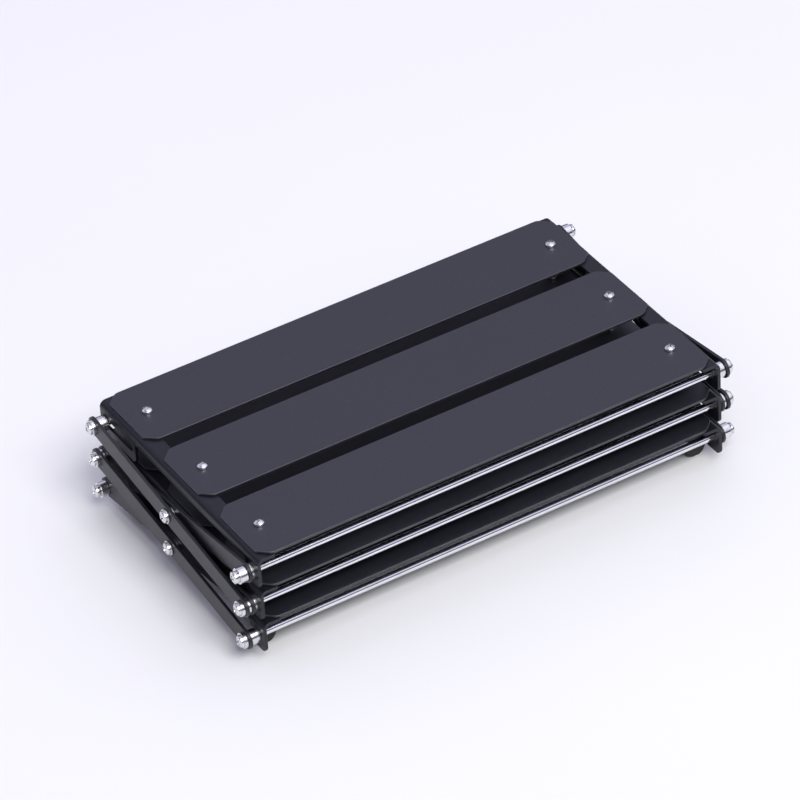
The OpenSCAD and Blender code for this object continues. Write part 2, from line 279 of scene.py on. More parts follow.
def inside(point, loop):
    """Whether a point lies within a closed outline"""
    hit = False
    for i in range(len(loop)):
        a, b = loop[i - 1], loop[i]
        if (a.y > point.y) != (b.y > point.y):
            if point.x < a.x + (point.y - a.y) * (b.x - a.x) / (b.y - a.y):
                hit = not hit
    return hit


def quads(rows, count, rows_close, count_closes):
    """Faces between neighbouring rows of points, each row with the same count"""
    faces = []
    for row in range(rows if rows_close else rows - 1):
        after = (row + 1) % rows
        for i in range(count if count_closes else count - 1):
            j = (i + 1) % count
            faces.append((row * count + i, row * count + j, after * count + j, after * count + i))
    return faces


def add_wall(shape, loop, rows, soft):
    """Adds the rounded wall of a plate along one closed outline, from (w, slope) rows"""
    inward = left_of(loop)
    points, normals, wear = [], [], []
    for w, a in rows:
        inset = soft * (1 - math.cos(a))
        for point, step in zip(loop, inward):
            spot = point + step * inset
            out = -step.normalized() * math.cos(a)
            points.append(Vector((spot.x, spot.y, w)))
            normals.append(Vector((out.x, out.y, math.sin(a))))
            wear.append(math.sin(2 * abs(a)))
    shape.add(points, normals, wear, quads(len(rows), len(loop), False, True))


def add_flat(shape, loops, upwards):
    """Adds the flat face within the first loop of a shape's points and outside the others"""
    ids = [i for loop in loops for i in loop]
    edges = []
    start = 0
    for loop in loops:
        edges += [(start + i, start + (i + 1) % len(loop)) for i in range(len(loop))]
        start += len(loop)
    flat = [shape.points[i].to_2d() / MM for i in ids]
    corners, _, faces, sources = delaunay_2d_cdt(flat, edges, [], 2, 1e-6)[:4]
    holes = [[shape.points[i].to_2d() for i in loop] for loop in loops[1:]]
    for face in faces:
        centre = sum((corners[k] for k in face), Vector((0, 0))) / len(face) * MM
        if any(inside(centre, hole) for hole in holes):
            continue
        ordered = tuple(ids[sources[k][0]] for k in face)
        a, b, c = (shape.points[k] for k in ordered)
        faces_up = (b - a).cross(c - a).z > 0
        shape.faces.append(ordered if faces_up == upwards else tuple(reversed(ordered)))


def plate(outline, holes, low, high, soft):
    """Flat plate from w = low to w = high with softened edges, in (u, v, w)"""
    shape = Shape()
    slopes = [math.pi / 2 * k / RIM_STEPS for k in range(RIM_STEPS + 1)]
    rows = [(high - soft * (1 - math.sin(a)), a) for a in reversed(slopes)]
    rows += [(low + soft * (1 - math.sin(a)), -a) for a in slopes]
    upper, lower = [], []
    for loop in [outline] + holes:
        first = len(shape.points)
        add_wall(shape, loop, rows, soft)
        last = len(shape.points) - len(loop)
        upper.append([first + i for i in range(len(loop))])
        lower.append([last + i for i in range(len(loop))])
    add_flat(shape, upper, True)
    add_flat(shape, lower, False)
    return shape


def softened(profile, closed):
    """Points of a profile of (x, r, radius) corners, with normals and wear; material is on the left"""
    made = []
    count = len(profile)
    for i, (x, r, radius) in enumerate(profile):
        here = Vector((x, r))
        arriving = (here - Vector(profile[i - 1][:2])).normalized()
        leaving = (Vector(profile[(i + 1) % count][:2]) - here).normalized()
        first = not closed and i == 0
        last = not closed and i == count - 1
        turn = math.atan2(arriving.x * leaving.y - arriving.y * leaving.x, arriving.dot(leaving))
        if first or last or abs(turn) < STRAIGHT:
            along = arriving if last else leaving
            made.append((here, Vector((along.y, -along.x)), 0.0))
            continue
        start = here - arriving * radius * math.tan(abs(turn) / 2)
        centre = start + Vector((-arriving.y, arriving.x)) * radius * (1 if turn > 0 else -1)
        for k in range(RIM_STEPS + 1):
            turned_by = Matrix.Rotation(turn * k / RIM_STEPS, 2)
            spot = centre + turned_by @ (start - centre)
            normal = turned_by @ Vector((arriving.y, -arriving.x))
            made.append((spot, normal, math.sin(math.pi * k / RIM_STEPS) if turn > 0 else 0.0))
    return made


def swept(made, angle_of, rows, rows_close, closed):
    """Turns a profile about X into rows of points, with the angle of each point from a rule"""
    shape = Shape()
    points, normals, wear = [], [], []
    for k in range(rows):
        for spot, normal, worn in made:
            a = angle_of(k, spot)
            c, s = math.cos(a), math.sin(a)
            points.append(Vector((spot.x, spot.y * c, spot.y * s)))
            normals.append(Vector((normal.x, normal.y * c, normal.y * s)))
            wear.append(worn)
    shape.add(points, normals, wear, quads(rows, len(made), rows_close, closed))
    return shape


def turned(profile, closed=True, sides=ROUND):
    """Solid of revolution about X"""
    return swept(softened(profile, closed), lambda k, spot: 2 * math.pi * k / sides, sides, True, closed)


def ring_profile(x0, x1, r_in, r_out, soft):
    return [(x0, r_in, soft), (x1, r_in, soft), (x1, r_out, soft), (x0, r_out, soft)]


def ring(x0, x1, r_in, r_out, soft=METAL_SOFT):
    """Ring about X"""
    return turned(ring_profile(x0, x1, r_in, r_out, soft))


def split_ring(x0, x1, r_in, r_out):
    """Spring washer: a square section swept round, open at a slanting cut"""
    section = softened(ring_profile(x0, x1, r_in, r_out, METAL_SOFT), True)
    steps = 60

    def angle_at(k):
        return SPLIT_START + SPLIT_GAP / 2 + (2 * math.pi - SPLIT_GAP) * k / steps

    def slanted(k, spot):
        return angle_at(k) + SPLIT_LEAN * (spot.x - x0) / (x1 - x0)

    shape = swept(section, slanted, steps + 1, False, True)
    count = len(section)
    for k, way in ((0, -1), (steps, 1)):
        a = angle_at(k)
        facing = Vector((0, -math.sin(a), math.cos(a))) * way
        ends = [shape.points[k * count + i].copy() for i in range(count)]
        shape.add(ends, [facing] * count, [0.0] * count, [tuple(range(count))])
    return shape


def as_object(shape):
    """Blender object of a shape, cleaned up for a boolean"""
    mesh = bpy.data.meshes.new("scratch")
    mesh.from_pydata([tuple(point) for point in shape.points], [], shape.faces)
    clean = bmesh.new()
    clean.from_mesh(mesh)
    bmesh.ops.remove_doubles(clean, verts=clean.verts[:], dist=WELD)
    bmesh.ops.dissolve_degenerate(clean, edges=clean.edges[:], dist=WELD)
    bmesh.ops.recalc_face_normals(clean, faces=clean.faces[:])
    clean.to_mesh(mesh)
    clean.free()
    made = bpy.data.objects.new("scratch", mesh)
    bpy.context.scene.collection.objects.link(made)
    return made


def combined(first, second, operation):
    """Boolean of two shapes, as a shape with smooth normals and no wear"""
    target, tool = as_object(first), as_object(second)
    modifier = target.modifiers.new("cut", "BOOLEAN")
    modifier.operation = operation
    modifier.solver = "EXACT"
    modifier.object = tool
    evaluated = target.evaluated_get(bpy.context.evaluated_depsgraph_get())
    mesh = evaluated.to_mesh()
    result = Shape()
    result.points = [vert.co.copy() for vert in mesh.vertices]
    result.normals = [vert.normal.copy() for vert in mesh.vertices]
    result.wear = [0.0] * len(result.points)
    result.faces = [tuple(face.vertices) for face in mesh.polygons]
    evaluated.to_mesh_clear()
    bpy.data.objects.remove(target)
    bpy.data.objects.remove(tool)
    return result


def body_of(node):
    return frame["nodes"][node]["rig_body"]


def piece(node, shape, material, smooth_angle=None):
    """Makes the piece that stands for a CAD node, and lets it ride on the node's body"""
    mesh = bpy.data.meshes.new(node + "_piece")
    mesh.from_pydata([tuple(point) for point in shape.points], [], shape.faces)
    mesh.update()
    worn = mesh.attributes.new("wear", "FLOAT", "POINT")
    worn.data.foreach_set("value", shape.wear)
    mesh.shade_smooth()
    if smooth_angle is None:
        mesh.normals_split_custom_set_from_vertices([tuple(normal) for normal in shape.normals])
    else:
        mesh.set_sharp_from_angle(angle=smooth_angle)
    mesh.materials.append(material)
    made = bpy.data.objects.new(node + "_piece", mesh)
    bpy.context.scene.collection.objects.link(made)
    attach(made, body_of(node))
    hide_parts(node)


# ---------------------------------------------------------------- materials
def new_material(name):
    material = bpy.data.materials.new(name)
    material.use_nodes = True
    tree = material.node_tree
    return material, tree, tree.nodes["Principled BSDF"]


def coords(tree, stretch=(1, 1, 1), shift=(0, 0, 0)):
    """The piece's own coordinates in metres, stretched and shifted"""
    source = tree.nodes.new("ShaderNodeTexCoord")
    mapping = tree.nodes.new("ShaderNodeMapping")
    mapping.inputs["Scale"].default_value = stretch
    mapping.inputs["Location"].default_value = shift
    tree.links.new(source.outputs["Object"], mapping.inputs["Vector"])
    return mapping.outputs["Vector"]


def noise(tree, vector, scale, detail):
    """Noise with a scale in cells to the metre"""
    node = tree.nodes.new("ShaderNodeTexNoise")
    node.inputs["Scale"].default_value = scale
    node.inputs["Detail"].default_value = detail
    tree.links.new(vector, node.inputs["Vector"])
    return node.outputs["Fac"]


def span(tree, value, low, high, to_low, to_high):
    """Maps a value from one range to another, kept within it"""
    node = tree.nodes.new("ShaderNodeMapRange")
    node.inputs["From Min"].default_value = low
    node.inputs["From Max"].default_value = high
    node.inputs["To Min"].default_value = to_low
    node.inputs["To Max"].default_value = to_high
    tree.links.new(value, node.inputs["Value"])
    return node.outputs["Result"]


def mix_colour(tree, amount, first, second):
    """From the first colour to the second; each is a socket or three numbers"""
    node = tree.nodes.new("ShaderNodeMix")
    node.data_type = "RGBA"
    tree.links.new(amount, node.inputs[0])
    for socket, colour in ((6, first), (7, second)):
        if isinstance(colour, tuple):
            node.inputs[socket].default_value = colour + (1,)
        else:
            tree.links.new(colour, node.inputs[socket])
    return node.outputs[2]


def math_node(tree, operation, first, second):
    """Arithmetic of two values; each is a socket or a number"""
    node = tree.nodes.new("ShaderNodeMath")
    node.operation = operation
    for socket, value in ((0, first), (1, second)):
        if isinstance(value, (int, float)):
            node.inputs[socket].default_value = value
        else:
            tree.links.new(value, node.inputs[socket])
    return node.outputs[0]


def wear_of(tree):
    """The edge wear stored with a mesh's points"""
    node = tree.nodes.new("ShaderNodeAttribute")
    node.attribute_name = "wear"
    return node.outputs["Fac"]


def bumps(tree, shader, layers):
    """Chains bump nodes of (height, strength, distance) into the shader's normal"""
    normal = None
    for height, strength, distance in layers:
        node = tree.nodes.new("ShaderNodeBump")
        node.inputs["Strength"].default_value = strength
        node.inputs["Distance"].default_value = distance
        tree.links.new(height, node.inputs["Height"])
        if normal is not None:
            tree.links.new(normal, node.inputs["Normal"])
        normal = node.outputs["Normal"]
    tree.links.new(normal, shader.inputs["Normal"])


def powder_coat(name, dark, light, rough, shift, specular):
    """Satin black powder coat: fine orange peel, faint clouding, faint dust, thin coat on edges"""
    material, tree, shader = new_material(name)
    shader.inputs["Specular IOR Level"].default_value = specular
    shader.inputs["Specular Tint"].default_value = (0.94, 0.94, 1, 1)
    place = coords(tree, shift=shift)
    clouds = noise(tree, place, scale=14, detail=4)
    grain = noise(tree, place, scale=900, detail=2)
    peel = noise(tree, place, scale=420, detail=2)
    specks = noise(tree, coords(tree, shift=(1.7, 0.4, 0.9)), scale=520, detail=0)
    speck_mask = span(tree, specks, 0.77, 0.81, 0, 0.12)
    patches = span(tree, noise(tree, place, scale=160, detail=4), 0.35, 0.7, 0.15, 1)
    worn = math_node(tree, "MULTIPLY", wear_of(tree), patches)
    base = mix_colour(tree, clouds, dark, light)
    thin = mix_colour(tree, math_node(tree, "MULTIPLY", worn, 0.35), base, (0.11, 0.11, 0.12))
    dusty = mix_colour(tree, speck_mask, thin, (0.16, 0.16, 0.17))
    tree.links.new(dusty, shader.inputs["Base Color"])
    cloudy = span(tree, clouds, 0.3, 0.7, *rough)
    smoother = math_node(tree, "SUBTRACT", cloudy, math_node(tree, "MULTIPLY", worn, 0.08))
    uneven = math_node(tree, "ADD", smoother, span(tree, grain, 0.3, 0.7, -0.03, 0.03))
    tree.links.new(uneven, shader.inputs["Roughness"])
    bumps(tree, shader, [(peel, 0.10, 0.0001), (grain, 0.12, 0.00004)])
    return material


def chrome(name, tint, rough, streak, shift):
    """Bright plating with fine lines along its length, a faint haze and small pits"""
    material, tree, shader = new_material(name)
    shader.inputs["Metallic"].default_value = 1.0
    place = coords(tree, shift=shift)
    lines = noise(tree, coords(tree, stretch=streak, shift=shift), scale=1500, detail=3)
    haze = noise(tree, place, scale=60, detail=4)
    pits = noise(tree, place, scale=1400, detail=1)
    pit_mask = span(tree, pits, 0.70, 0.78, 0, 1)
    worn = math_node(tree, "MULTIPLY", wear_of(tree), span(tree, haze, 0.4, 0.7, 0.1, 0.7))
    shaded = mix_colour(tree, span(tree, haze, 0.35, 0.75, 0, 1), tint, tuple(0.88 * v for v in tint))
    pitted = mix_colour(tree, math_node(tree, "MULTIPLY", pit_mask, 0.5), shaded, (0.36, 0.35, 0.34))
    tree.links.new(pitted, shader.inputs["Base Color"])
    hazy = span(tree, haze, 0.3, 0.7, *rough)
    lined = math_node(tree, "ADD", hazy, span(tree, lines, 0.3, 0.7, 0, 0.05))
    rubbed = math_node(tree, "ADD", lined, math_node(tree, "MULTIPLY", worn, 0.08))
    tree.links.new(rubbed, shader.inputs["Roughness"])
    bumps(tree, shader, [(lines, 0.04, 0.00002), (pits, 0.03, 0.00003)])
    return material


def rubber_look(name):
    """Matt black rubber with a moulded grain and dust in it"""
    material, tree, shader = new_material(name)
    place = coords(tree)
    grain = noise(tree, place, scale=1300, detail=3)
    clouds = noise(tree, place, scale=90, detail=4)
    dust = span(tree, clouds, 0.5, 0.8, 0, 0.5)
    dusty = mix_colour(tree, dust, (0.016, 0.016, 0.017), (0.05, 0.049, 0.048))
    tree.links.new(dusty, shader.inputs["Base Color"])
    tree.links.new(span(tree, clouds, 0.3, 0.7, 0.62, 0.8), shader.inputs["Roughness"])
    bumps(tree, shader, [(grain, 0.25, 0.00008)])
    return material


SLAT_COAT = powder_coat(
    "slat_coat", dark=(0.006, 0.006, 0.011), light=(0.009, 0.009, 0.015),
    rough=(0.43, 0.50), shift=(0, 0, 0), specular=0.93,
)
# Darker copy of the same black coat as the slats: its lower colour is painted shade for the dim strip along
# the bend
BRACKET_COAT_PAINTED_SHADE = powder_coat(
    "bracket_coat_painted_shade", dark=(0.005, 0.005, 0.009), light=(0.008, 0.008, 0.013),
    rough=(0.38, 0.45), shift=(3, 1, 2), specular=0.42,
)
ARM_COAT = powder_coat(
    "arm_coat", dark=(0.007, 0.007, 0.010), light=(0.010, 0.010, 0.014),
    rough=(0.38, 0.45), shift=(5, 2, 7), specular=0.55,
)
ROD_CHROME = chrome(
    "rod_chrome", tint=(0.86, 0.87, 0.89), rough=(0.05, 0.10), streak=(0.02, 1, 1), shift=(0, 0, 0)
)
FASTENER = chrome(
    "fastener", tint=(0.77, 0.77, 0.78), rough=(0.15, 0.24), streak=(1, 1, 1), shift=(2, 5, 1)
)
RUBBER = rubber_look("rubber")


# ---------------------------------------------------------------- slats
def build_slats():
    for tier in TIERS:
        for row in ROWS:
            node = f"{tier}_slat_{row}"
            low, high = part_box(node)
            middle = (low + high) / 2
            end, edge = high.x, (high.y - low.y) / 2
            cut_x, cut_y = end - SLAT_CORNER, edge - SLAT_CORNER
            corners = [
                (end, -cut_y, SLAT_END_SOFT), (end, cut_y, SLAT_END_SOFT),
                (cut_x, edge, SLAT_SIDE_SOFT), (-cut_x, edge, SLAT_SIDE_SOFT),
                (-end, cut_y, SLAT_END_SOFT), (-end, -cut_y, SLAT_END_SOFT),
                (-cut_x, -edge, SLAT_SIDE_SOFT), (cut_x, -edge, SLAT_SIDE_SOFT),
            ]
            holes = [ring_outline(sign * screw_x, 0, SCREW_HOLE) for sign in SIDES.values()]
            flat = plate(soft_outline(corners), holes, low.z - middle.z, high.z - middle.z, EDGE_SOFT)
            piece(node, flat.placed(at(0, middle.y, middle.z)), SLAT_COAT)


# ---------------------------------------------------------------- brackets
def cut_across(shape, places):
    """Cuts a shape along lines of constant u, and keeps its normals and wear"""
    mesh = bmesh.new()
    normal_layer = mesh.verts.layers.float_vector.new("n")
    wear_layer = mesh.verts.layers.float.new("w")
    verts = []
    for point, normal, worn in zip(shape.points, shape.normals, shape.wear):
        vert = mesh.verts.new(point)
        vert[normal_layer] = normal
        vert[wear_layer] = worn
        verts.append(vert)
    for face in shape.faces:
        mesh.faces.new([verts[k] for k in face])
    for place in places:
        everything = mesh.verts[:] + mesh.edges[:] + mesh.faces[:]
        bmesh.ops.bisect_plane(mesh, geom=everything, plane_co=(place, 0, 0), plane_no=(1, 0, 0), dist=WELD)
    mesh.verts.index_update()
    cut = Shape()
    cut.add(
        [vert.co.copy() for vert in mesh.verts],
        [vert[normal_layer].normalized() for vert in mesh.verts],
        [vert[wear_layer] for vert in mesh.verts],
        [tuple(vert.index for vert in face.verts) for face in mesh.faces],
    )
    mesh.free()
    return cut


def folded(flat, out_x, top):
    """Folds a flat sheet down at its end: a flat stretch, then the bend, then a flange out to out_x"""
    bend_x = out_x - BEND

    def rule(point, normal):
        u, v, w = point
        if u <= bend_x:
            return Vector((u, v, top + w)), normal
        angle = min((u - bend_x) / BEND_RUN, 1) * math.pi / 2
        out = Vector((math.sin(angle), 0, math.cos(angle)))
        along = Vector((math.cos(angle), 0, -math.sin(angle)))
        at_bend = Vector((bend_x, v, top - BEND)) + out * (BEND + w)
        beyond = max(u - bend_x - BEND_RUN, 0)
        return at_bend + along * beyond, along * normal.x + Vector((0, normal.y, 0)) + out * normal.z

    bent = cut_across(flat, [bend_x + BEND_RUN * k / BEND_STEPS for k in range(BEND_STEPS + 1)])
    bent.warp(rule)
    return bent


def slot_travel():
    """How far a rear rod slides forward as the rack rises to its upper limit"""
    reach, rise = rear_y - front_y, pivot_z[1] - pivot_z[0]
    return reach - math.hypot(reach, rise) * math.cos(math.atan2(rise, reach) + raise_angle)


def bracket_shape(tier):
    """Right-hand bracket: one bent sheet with tabs, two lobes, a pivot hole and a slot"""
    low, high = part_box(tier + "_bracket_right")
    front, rear = low.y, high.y
    top, out_x = high.z, high.x
    flange_u = out_x - 2 * BEND + BEND_RUN  # a flange point's u, less this, is its depth below the top
    lobe_u = flange_u + top - (low.z if tier != "base" else FOOT_DROP)
    strip_u = flange_u + STRIP_HEIGHT
    pivot_u = flange_u + top - pivot_z[TIERS.index(tier)]
    rail_u = out_x - RAIL_WIDTH
    tab_u = low.x
    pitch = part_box(tier + "_slat_rear")[0].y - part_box(tier + "_slat_middle")[0].y
    # the base bracket's front lobe turns into the bend of a foot tab, so it keeps a square corner
    inner_soft = LOBE_SOFT if tier != "base" else STRIP_SOFT
    corners = [
        (lobe_u, front, LOBE_SOFT), (lobe_u, front + FRONT_LOBE, inner_soft),
        (strip_u, front + FRONT_LOBE, STRIP_SOFT), (strip_u, rear - REAR_LOBE, STRIP_SOFT),
        (lobe_u, rear - REAR_LOBE, LOBE_SOFT), (lobe_u, rear, LOBE_SOFT),
        (rail_u, rear, TAB_SOFT),
    ]
    for row in (1, 0, -1):
        upper, lower = row * pitch + TAB_HALF, row * pitch - TAB_HALF
        corners += [
            (rail_u, upper, GAP_SOFT), (tab_u, upper, TAB_SOFT),
            (tab_u, lower, TAB_SOFT), (rail_u, lower, GAP_SOFT),
        ]
    corners.append((rail_u, front, TAB_SOFT))
    holes = [ring_outline(screw_x, row * pitch, SCREW_HOLE) for row in (-1, 0, 1)]
    holes.append(ring_outline(pivot_u, front_y, rod_r))
    holes.append(slot_outline(pivot_u, rear_y - slot_travel(), rear_y + SLOT_BEHIND, rod_r + SLOT_PLAY))
    return folded(plate(soft_outline(corners), holes, -SHEET, 0, EDGE_SOFT), out_x, top)


def foot_spots():
    """Centre X of the right-hand feet, and the middle of the front and of the rear foot along Y"""
    low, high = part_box("rubber_feet")
    return high.x - FOOT_WIDTH / 2, low.y + FOOT_THICK / 2, high.y - FOOT_THICK / 2


def foot_tab(reach, top, thick):
    """Flat tab with a round lower end, its outer edge at u = reach"""
    middle_x, _, _ = foot_spots()
    outline = arc(middle_x, FOOT_DROP, FOOT_CORE, math.pi, math.pi, TAB_STEPS)
    outline += [Vector((reach, FOOT_DROP)), Vector((reach, top)), Vector((middle_x - FOOT_CORE, top))]
    return plate(outline, [], -SHEET + (SHEET - thick) / 2, -(SHEET - thick) / 2, EDGE_SOFT)


def front_foot_tab():
    """Tab that bends inwards from the inner edge of the front lobe"""
    out_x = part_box("base_bracket_right")[1].x
    _, front, _ = foot_spots()
    lap_end = out_x - BEND + BEND_RUN + FRONT_TAB_LAP
    flat = foot_tab(lap_end, FRONT_TAB_TOP, SHEET - FRONT_TAB_THINNER)
    return folded(flat, out_x, front + SHEET / 2).placed(SWAP_YZ)


def rear_foot_tab():
    """Tab welded inside the rear lobe, below the sliding rod"""
    inner_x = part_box("base_bracket_right")[1].x - SHEET + EDGE_SOFT
    _, _, rear = foot_spots()
    flat = foot_tab(inner_x, pivot_z[0] - BELOW_ROD, SHEET)
    return flat.placed(at(0, rear - SHEET / 2, 0) @ STANDING)


def build_brackets():
    for tier in TIERS:
        shape = bracket_shape(tier)
        if tier == "base":
            shape.merge(front_foot_tab(), Matrix.Identity(4))
            shape.merge(rear_foot_tab(), Matrix.Identity(4))
        for side, sign in SIDES.items():
            piece(f"{tier}_bracket_{side}", shape.placed(mirrored(sign)), BRACKET_COAT_PAINTED_SHADE)


def build_feet():
    """Half-round rubber boots over the tabs"""
    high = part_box("rubber_feet")[1].z
    middle_x, front, rear = foot_spots()
    radius = FOOT_WIDTH / 2
    flat_angle = math.asin(FOOT_DROP / radius)
    side_angle = math.asin((FOOT_DROP - high) / radius)
    sweep = flat_angle - side_angle
    outline = arc(middle_x, FOOT_DROP, radius, side_angle - math.pi, sweep, FOOT_STEPS)
    outline += arc(middle_x, FOOT_DROP, radius, -flat_angle, sweep, FOOT_STEPS)
    boot = plate(outline, [], -FOOT_THICK / 2, FOOT_THICK / 2, RUBBER_SOFT)
    shape = Shape()
    for sign in SIDES.values():
        for y in (front, rear):
            shape.merge(boot, mirrored(sign) @ at(0, y, 0) @ STANDING)
    piece("rubber_feet", shape, RUBBER)


# ---------------------------------------------------------------- arms
def build_arm(node, start, end):
    """Arm from its front pivot to its rear pivot, with three holes"""
    low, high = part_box(node)
    radius = front_y - low.y
    thick = high.x - low.x
    along = end - start
    length = along.length
    outline = arc(length, 0, radius, -math.pi / 2, math.pi, ARM_STEPS)
    outline += arc(0, 0, radius, math.pi / 2, math.pi, ARM_STEPS)
    places = ((0, rod_r), (length / 2, PIVOT_SHANK), (length, rod_r))
    holes = [ring_outline(u, 0, hole_r) for u, hole_r in places]
    flat = plate(outline, holes, -thick / 2, thick / 2, EDGE_SOFT)
    tilt = Matrix.Rotation(math.atan2(along.z, along.y), 4, "X")
    place = at((low.x + high.x) / 2, start.y, start.z)
    piece(node, flat.placed(place @ tilt @ FACING_X), ARM_COAT)


def build_arms():
    for level, name in enumerate(LEVELS):
        for kind, tier in (("rising", level), ("falling", level + 1)):
            start = Vector((0, front_y, pivot_z[tier]))
            end = 2 * crossings[level] - start
            for side in SIDES:
                build_arm(f"{name}_{kind}_arm_{side}", start, end)


# ---------------------------------------------------------------- rods, washers and spacers
def build_rods():
    half = [
        (rod_end - ROD_BORE, 0, 0), (rod_end - ROD_BORE, SHANK, FINE_SOFT), (rod_end, SHANK, END_SOFT),
        (rod_end, rod_r - ROD_CHAMFER, END_SOFT), (rod_end - ROD_CHAMFER, rod_r, END_SOFT),
    ]
    rod = turned(half + [(-x, r, soft) for x, r, soft in reversed(half)], closed=False)
    for tier, z in zip(TIERS, pivot_z):
        for row, y in (("front", front_y), ("rear", rear_y)):
            piece(f"{tier}_{row}_rod", rod.placed(at(0, y, z)), ROD_CHROME)


def solids_of(node, sign=1):
    """X ranges and radii of the separate solids of a node's half on one side, from its CAD mesh"""
    mesh = bmesh.new()
    mesh.from_mesh(frame["nodes"][node].data)
    bmesh.ops.remove_doubles(mesh, verts=mesh.verts[:], dist=CAD_WELD)
    left = set(mesh.verts)
    found = []
    while left:
        grown = [left.pop()]
        members = []
        while grown:
            vert = grown.pop()
            members.append(vert.co.copy())
            for edge in vert.link_edges:
                other = edge.other_vert(vert)
                if other in left:
                    left.remove(other)
                    grown.append(other)
        xs = [sign * co.x for co in members]
        if min(xs) > 0:
            radius = (max(co.y for co in members) - min(co.y for co in members)) / 2
            found.append((min(xs), max(xs), radius))
    mesh.free()
    return sorted(found)


def ringed(node, y, z, make):
    """Piece with a ring for each solid of a node, at both ends"""
    shape = Shape()
    for sign in SIDES.values():
        for x0, x1, radius in solids_of(node, sign):
            shape.merge(make(x0, x1, radius), mirrored(sign) @ at(0, y, z))
    piece(node, shape, FASTENER)


def rod_washer(x0, x1, radius):
    """Flat washer, or the split spring washer under the head of the end screw"""
    if x0 >= rod_end - CAD_TOUCH:
        return split_ring(x0, x1, SHANK + RING_PLAY, radius)
    return ring(x0, x1, rod_r + RING_PLAY, radius)


def spacer(x0, x1, radius):
    return ring(x0, x1, rod_r + RING_PLAY, radius, SPACER_SOFT)


def pivot_washer(x0, x1, radius):
    return ring(x0, x1, PIVOT_SHANK + RING_PLAY, radius)


def build_rings():
    for tier, z in zip(TIERS, pivot_z):
        for row, y in (("front", front_y), ("rear", rear_y)):
            ringed(f"{tier}_{row}_rod_washers", y, z, rod_washer)
            if tier != "middle":
                ringed(f"{tier}_{row}_spacers", y, z, spacer)
    for level, crossing in zip(LEVELS, crossings):
        ringed(f"{level}_pivot_washers", crossing.y, crossing.z, pivot_washer)


# ---------------------------------------------------------------- screws and nuts
def wing(half_y, half_z, depth, height):
    """Cutter for one wing of a cross recess, from x = -depth up to x = height, narrower at its floor"""
    corners = [(-1, -1), (1, -1), (1, 1), (-1, 1)]
    points = []
    for x, grow in ((-depth, RECESS_FLOOR), (height, RECESS_MOUTH)):
        y, z = half_y * grow, half_z * (RECESS_STEEP + (1 - RECESS_STEEP) * grow)
        points += [Vector((x, a * y, b * z)) for a, b in corners]
    centre = sum(points, Vector()) / len(points)
    shape = Shape()
    shape.add(
        points,
        [(point - centre).normalized() for point in points],
        [0.0] * len(points),
        [(0, 1, 2, 3), (4, 5, 6, 7)] + quads(2, len(corners), False, True),
    )
    return shape


def thread(length, radius):
    """Profile corners of the last turns of a screw's thread, from its tip"""
    corners = [(-length, 0, 0), (-length, radius * THREAD_TIP, FINE_SOFT)]
    for k in range(THREAD_TURNS):
        start = -length + (THREAD_START + k) * THREAD_PITCH
        root = start + THREAD_PITCH / 2
        corners += [(start, radius, THREAD_SOFT), (root, radius * THREAD_ROOT, THREAD_SOFT)]
    corners.append((-length + (THREAD_TURNS + THREAD_START) * THREAD_PITCH, radius, THREAD_SOFT))
    return corners


def screw_shape(head, shank_r, shank_l):
    """Pan head screw along X, the underside of its head at x = 0"""
    radius, height = head
    rim = HEAD_RIM * height
    dome = height - rim
    dome_r = (radius ** 2 + dome ** 2) / (2 * dome)
    reach = math.asin(radius / dome_r) * HEAD_SHOULDER
    profile = thread(shank_l, shank_r)
    profile += [(0, shank_r, FINE_SOFT), (0, radius - END_SOFT, END_SOFT)]
    profile.append((rim * HEAD_BEVEL, radius, HEAD_SOFT))
    steps = 12
    for k in range(steps + 1):
        a = reach * (1 - k / steps)
        profile.append((height - dome_r + dome_r * math.cos(a), dome_r * math.sin(a), 0))
    # from the top of the head to the tip, so that the material is on the profile's left
    made = turned(profile[::-1], closed=False, sides=SCREW_ROUND)
    for long, wide in ((RECESS_LONG, RECESS_WIDE), (RECESS_WIDE, RECESS_LONG)):
        cutter = wing(radius * long, radius * wide, height * RECESS_DEPTH, height * RECESS_ABOVE)
        made = combined(made, cutter.placed(at(height, 0, 0)), "DIFFERENCE")
    return made


def nut_shape(across, thick, bore):
    """Hexagon nut along X from x = 0, with its corners turned down on both faces"""
    corner = across / 2 / math.cos(math.pi / 6)
    outline = arc(0, 0, corner, 0, 2 * math.pi, 6)[:-1]
    hexagon = plate(outline, [ring_outline(0, 0, bore)], 0, thick, NUT_SOFT)
    over = 0.3 * MM
    keen = 0.01 * MM
    face_r = across / 2 * NUT_FACE - over / NUT_SLOPE
    clear_r = corner * 1.03
    limit = turned([
        (thick + over, 0, 0), (thick + over, face_r, keen),
        (thick * (1 - NUT_LAND), clear_r, FINE_SOFT), (thick * NUT_LAND, clear_r, FINE_SOFT),
        (-over, face_r, keen), (-over, 0, 0),
    ], closed=False)
    return combined(hexagon.placed(FACING_X), limit, "INTERSECT")


def fastened(node, shape):
    piece(node, shape, FASTENER, SHARP)


def along_slats(node_end, made, height_of):
    """Copies of a screw or nut at both ends of every slat, each turned its own way"""
    for tier in TIERS:
        shape = Shape()
        for row, name in enumerate(ROWS):
            slat_low, slat_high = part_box(f"{tier}_slat_{name}")
            for sign in SIDES.values():
                spin = math.radians(SLAT_SPIN[0] * (row - 1) + SLAT_SPIN[1] * sign)
                place = at(sign * screw_x, (slat_low.y + slat_high.y) / 2, height_of(tier))
                shape.merge(made, place @ Matrix.Rotation(spin, 4, "Z") @ UPRIGHT)
        fastened(tier + node_end, shape)


def build_slat_screws():
    low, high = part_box("top_slat_screws")
    made = screw_shape(SLAT_HEAD, SHANK, high.z - low.z - SLAT_HEAD[1])
    along_slats("_slat_screws", made, lambda tier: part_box(tier + "_slat_middle")[1].z)


def build_nuts():
    low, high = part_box("top_slat_nuts")
    made = nut_shape(NUT_ACROSS, high.z - low.z, SHANK)
    along_slats("_slat_nuts", made, lambda tier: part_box(tier + "_slat_nuts")[0].z)


